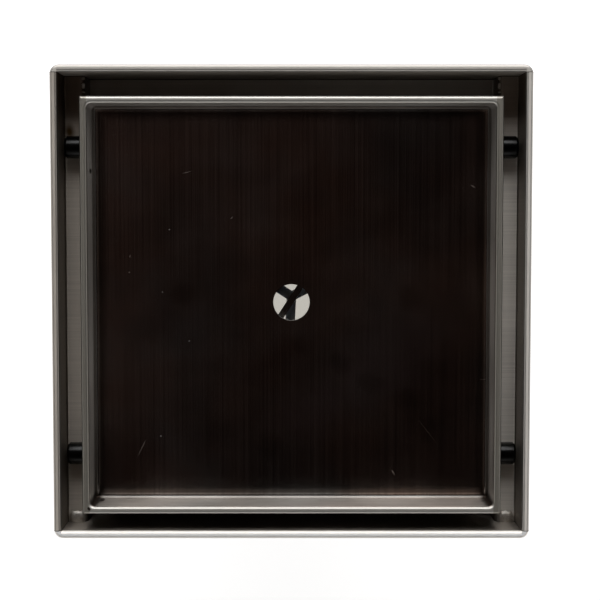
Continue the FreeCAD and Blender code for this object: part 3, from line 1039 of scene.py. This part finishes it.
@dataclass
class DrainBody:
    """The fixed body: the folded channel, its end plates, the outlet tube and the welds that join them."""

    end_mm: float = 62.35
    ledge_top_mm: float = 66.5
    ledge_under_mm: float = 64.5
    ledge_mm: Span = (58.2, 62.6)
    ledge_weld_mm: float = 2.3
    ledge_weld_in_mm: float = 0.9
    ledge_weld_flat: float = 0.36
    ledge_ripple_mm: float = 1.6
    ledge_weld_sides: int = 20
    ledge_weld_tip: float = 0.35
    tack_side_mm: float = 57.7
    tack_sunk_mm: float = 0.4
    tacks_mm: tuple[Span, ...] = ((62.0, 61.3), (60.4, 58.9), (58.1, 57.7))
    floor_under_mm: float = 54.0
    floor_weld_mm: float = 57.5
    throat_outside_mm: float = 59.4
    throat_short_mm: Span = (1.6, 0.8)
    wall_bend_mm: float = 63.6
    step_short_mm: float = 0.7
    outside_weld_mm: float = 0.55
    tube_radius_mm: float = 25.0
    tube_weld_mm: float = 1.0
    tube_weld_sides: int = 12
    tube_ripple_mm: float = 1.1
    tube_trough: float = 0.86
    tube_uneven: Span = (0.94, 1.06)
    merge_m: float = 1e-7
    weld: Material = field(default_factory=WELD_STEEL.build)
    chance: random.Random = field(default_factory=lambda: random.Random(SEED))

    def build(self) -> None:
        """Dress the body's pieces and lay its welds."""
        put_on("drain_channel", FOLDED_STEEL.build())
        put_on("end_plate_back", BACK_STEEL.build())
        put_on("end_plate_front", FRONT_STEEL.build())
        put_on("outlet_spigot", TUBE_STEEL.build())
        self.weld_ledges()
        self.weld_outside()
        self.weld_tube()

    def weld_ledges(self) -> None:
        """Lay the low welds at the ledges' front ends and the tacks beside their back ends."""
        top = self.ledge_top_mm
        tack_height = top - self.tack_sunk_mm
        front = self.ledge_weld_in_mm - self.end_mm
        for side, name in ((-1, "left"), (1, "right")):
            shape = bmesh.new()
            start, finish = [(edge * side, front, top) for edge in self.ledge_mm]
            WeldRun(
                start, finish, self.ledge_weld_mm,
                self.ledge_ripple_mm, self.ledge_weld_sides, self.ledge_weld_tip,
            ).lay(shape, self.chance)
            bmesh.ops.scale(
                shape, verts=shape.verts, vec=(1.0, 1.0, self.ledge_weld_flat),
                space=Matrix.Translation((0.0, 0.0, -top * MM)),
            )
            beside = self.tack_side_mm * side
            for tack in self.tacks_mm:
                start, finish = [(beside, end, tack_height) for end in tack]
                WeldRun(start, finish, self.outside_weld_mm).lay(shape, self.chance)
            add_piece(f"ledge_weld_{name}", shape, self.weld)

    def weld_outside(self) -> None:
        """Lay the welds that close the outside of the body below its ledges."""
        low = self.floor_under_mm
        high = self.ledge_under_mm
        foot_short, head_short = self.throat_short_mm
        for end, name in ((-1, "front"), (1, "back")):
            shape = bmesh.new()
            joint = self.end_mm * end
            runs = [((-self.floor_weld_mm, joint, low), (self.floor_weld_mm, joint, low))]
            for side in (-1, 1):
                throat = self.throat_outside_mm * side
                bend = self.wall_bend_mm * side
                runs.append(((throat, joint, low + foot_short), (throat, joint, high - head_short)))
                runs.append(((throat + self.step_short_mm * side, joint, high), (bend, joint, high)))
            for start, finish in runs:
                WeldRun(start, finish, self.outside_weld_mm).lay(shape, self.chance)
            add_piece(f"outside_weld_{name}", shape, self.weld)

    def weld_tube(self) -> None:
        """Lay the weld round the outlet tube under the sump floor."""
        shape = bmesh.new()
        middle = Vector((self.tube_radius_mm * MM, 0.0, self.floor_under_mm * MM))
        upright = Matrix.Translation(middle) @ Matrix.Rotation(math.pi / 2, 4, "X")
        bmesh.ops.create_circle(
            shape, segments=self.tube_weld_sides, radius=self.tube_weld_mm * MM, matrix=upright,
        )
        steps = round(math.tau * self.tube_radius_mm / self.tube_ripple_mm) * RINGS_PER_RIPPLE
        bmesh.ops.spin(
            shape, geom=list(shape.verts) + list(shape.edges), cent=(0.0, 0.0, 0.0), axis=(0.0, 0.0, 1.0),
            angle=math.tau, steps=steps, use_merge=True,
        )
        bmesh.ops.remove_doubles(shape, verts=shape.verts, dist=self.merge_m)
        ripple = (self.tube_trough, 1.0)
        crests = [self.chance.uniform(*self.tube_uneven) * ripple[step % 2] for step in range(steps)]
        for vert in shape.verts:
            turn = math.atan2(vert.co.y, vert.co.x) % math.tau
            core = Matrix.Rotation(turn, 4, "Z") @ middle
            vert.co = core + (vert.co - core) * crests[round(turn / math.tau * steps) % steps]
        add_piece("outlet_weld", shape, self.weld)


@dataclass
class TileTray:
    """The loose tray, with a stud and a rubber peg at each end of both sides."""

    sides: tuple[str, ...] = ("left", "right")
    ends: tuple[str, ...] = ("back", "front")

    def build(self) -> None:
        """Give the tray, its studs and its pegs their materials."""
        put_on("tile_tray", TRAY_STEEL.build())
        stud = STUD_STEEL.build()
        rubber = PEG_RUBBER.build()
        for side in self.sides:
            for end in self.ends:
                put_on(f"tray_stud_{side}_{end}", stud)
                put_on(f"rubber_peg_{side}_{end}", rubber)


@dataclass
class HairStrainer:
    """The loose strainer in the outlet and its handle."""

    cup: str = "hair_strainer"
    handle: str = "strainer_handle"

    def build(self) -> None:
        """Give the strainer and its handle their steel."""
        put_on(self.cup, STRAINER_STEEL.build())
        put_on(self.handle, HANDLE_STEEL.build())


@dataclass
class Studio:
    """Pale floor, soft light from the back and a camera almost straight above.

    The sky's colour goes by the upward part of the direction, and so does the change from wall to ceiling.
    Its strength goes by the level parts: ceiling_y, ceiling_x and wall_y each hold two values of one, and
    the pair of strengths below each applies at those two.
    """

    floor_half_m: float = 5.0
    floor_colour: str = "#e7e7e7"
    floor_roughness: float = 0.9
    glow: float = 0.76
    glow_colour: str = "#ffffff"
    outlet_mm: Span = (23.0, 24.0)
    outlet_colour: str = "#d2cec5"
    sky: tuple[tuple[float, Point], ...] = (
        (0.0, (0.9, 0.9, 0.9)),
        (0.2, (0.85, 0.85, 0.85)),
        (0.35, (0.38, 0.378, 0.374)),
        (0.5, (0.18, 0.178, 0.174)),
        (0.65, (0.065, 0.062, 0.059)),
        (0.8, (0.025, 0.0205, 0.018)),
        (0.9, (0.0172, 0.0112, 0.0096)),
    )
    ceiling_up: Span = (0.75, 0.95)
    ceiling_y: Span = (-0.25, 0.15)
    ceiling_strength_y: Span = (0.45, 1.4)
    ceiling_x: Span = (-0.14, 0.14)
    ceiling_strength_x: Span = (1.3, 0.4)
    wall_y: Span = (-0.8, 0.0)
    wall_strength: Span = (1.9, 1.0)
    lamp_m: Point = (0.0, 1.06, 0.63)
    lamp_size_m: Span = (1.9, 0.90)
    lamp_radiance: float = 3.5
    aim_m: Point = (0.0, 0.0, 0.07)
    camera_mm: Point = (0.0, 25.2, 489.2)
    tilt_deg: float = 3.775
    lens_mm: float = 90.91
    sensor_mm: float = 36.0
    shift: Span = (0.0142, 0.0175)

    def build(self) -> None:
        """Set up the floor, the light and the camera."""
        self.lay_floor()
        self.light_world()
        self.hang_lamp()
        self.set_camera()
        bpy.context.scene.view_settings.view_transform = "Standard"

    def lay_floor(self) -> None:
        """Lay a pale floor that reads as white, keeps the drain's shadow and is shaded inside the outlet."""
        mesh = bpy.data.meshes.new("studio_floor")
        shape = bmesh.new()
        bmesh.ops.create_grid(shape, x_segments=1, y_segments=1, size=self.floor_half_m)
        shape.to_mesh(mesh)
        shape.free()
        floor = bpy.data.objects.new("studio_floor", mesh)
        bpy.context.scene.collection.objects.link(floor)
        material, tree = start_material("pale_studio_floor")
        path = add_node(tree, "LightPath")
        seen: Source = path.outputs["Is Camera Ray"]
        for ray in ("Is Glossy Ray", "Is Transmission Ray"):
            seen = add_node(tree, "Math", {"operation": "MAXIMUM"}, {0: seen, 1: path.outputs[ray]})
        place = add_node(tree, "TexCoord").outputs["Object"]
        away = add_node(tree, "VectorMath", {"operation": "LENGTH"}, {0: place})
        outside = add_node(tree, "MapRange", inputs={"Value": away, **between(self.outlet_mm, MM)})
        tone = add_node(tree, "Mix", {"data_type": "RGBA"}, {
            "Factor": outside, "A": linear(self.outlet_colour), "B": linear(self.glow_colour),
        })
        glow = add_node(tree, "Math", {"operation": "MULTIPLY"}, {0: seen, 1: self.glow})
        shader = add_node(tree, "BsdfPrincipled", inputs={
            "Base Color": linear(self.floor_colour),
            "Roughness": self.floor_roughness,
            "Specular IOR Level": 0.0,
            "Emission Color": tone,
            "Emission Strength": glow,
        })
        add_node(tree, "OutputMaterial", inputs={"Surface": shader})
        mesh.materials.append(material)

    def light_world(self) -> None:
        """Light the room from its walls, under a dark ceiling that is lighter at the back and the left."""
        world = bpy.data.worlds.new("soft_room")
        bpy.context.scene.world = world
        world.use_nodes = True
        tree = world.node_tree
        tree.nodes.clear()
        direction = add_node(tree, "TexCoord").outputs["Generated"]
        spot = add_node(tree, "SeparateXYZ", inputs={0: direction})
        ramp = add_node(tree, "ValToRGB", inputs={0: spot.outputs["Z"]})
        stops = ramp.color_ramp.elements
        stops.remove(stops[1])
        stops[0].position = self.sky[0][0]
        stops[0].color = (*self.sky[0][1], 1.0)
        for upward, colour in self.sky[1:]:
            stops.new(upward).color = (*colour, 1.0)
        strengths: list[Node] = []
        for axis, part, strength in (
            ("Y", self.ceiling_y, self.ceiling_strength_y),
            ("X", self.ceiling_x, self.ceiling_strength_x),
            ("Y", self.wall_y, self.wall_strength),
        ):
            change = add_node(tree, "MapRange", inputs={
                "Value": spot.outputs[axis], **between(part), "To Min": strength[0], "To Max": strength[1],
            })
            strengths.append(change)
        along, across, wall = strengths
        ceiling = add_node(tree, "Math", {"operation": "MULTIPLY"}, {0: along, 1: across})
        overhead = add_node(tree, "MapRange", inputs={
            "Value": spot.outputs["Z"], **between(self.ceiling_up),
        })
        mixed = add_node(tree, "Mix", {"data_type": "FLOAT"}, {"Factor": overhead, "A": wall, "B": ceiling})
        sky = add_node(tree, "Background", inputs={"Color": ramp, "Strength": mixed})
        add_node(tree, "OutputWorld", inputs={"Surface": sky})

    def hang_lamp(self) -> None:
        """Hang one wide soft lamp behind the drain that points at it."""
        width, height = self.lamp_size_m
        lamp = bpy.data.lights.new("back_softbox", "AREA")
        lamp.shape = "RECTANGLE"
        lamp.size = width
        lamp.size_y = height
        lamp.energy = self.lamp_radiance * math.pi * width * height
        holder = bpy.data.objects.new("back_softbox", lamp)
        holder.location = self.lamp_m
        aim = Vector(self.aim_m) - Vector(self.lamp_m)
        holder.rotation_euler = aim.to_track_quat("-Z", "Y").to_euler()
        bpy.context.scene.collection.objects.link(holder)

    def set_camera(self) -> None:
        """Set the camera almost straight above the drain."""
        camera = bpy.data.cameras.new("camera_above")
        camera.lens = self.lens_mm
        camera.sensor_width = self.sensor_mm
        camera.shift_x, camera.shift_y = self.shift
        holder = bpy.data.objects.new("camera_above", camera)
        holder.location = Vector(self.camera_mm) * MM
        holder.rotation_euler = (math.radians(-self.tilt_deg), 0.0, 0.0)
        bpy.context.scene.collection.objects.link(holder)
        bpy.context.scene.camera = holder


def main() -> None:
    """Dress the drain, lay its welds and set up the studio."""
    logging.basicConfig(level=logging.INFO, format="%(name)s: %(message)s")
    DrainBody().build()
    TileTray().build()
    HairStrainer().build()
    Studio().build()
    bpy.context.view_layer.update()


if __name__ == "__main__":
    main()
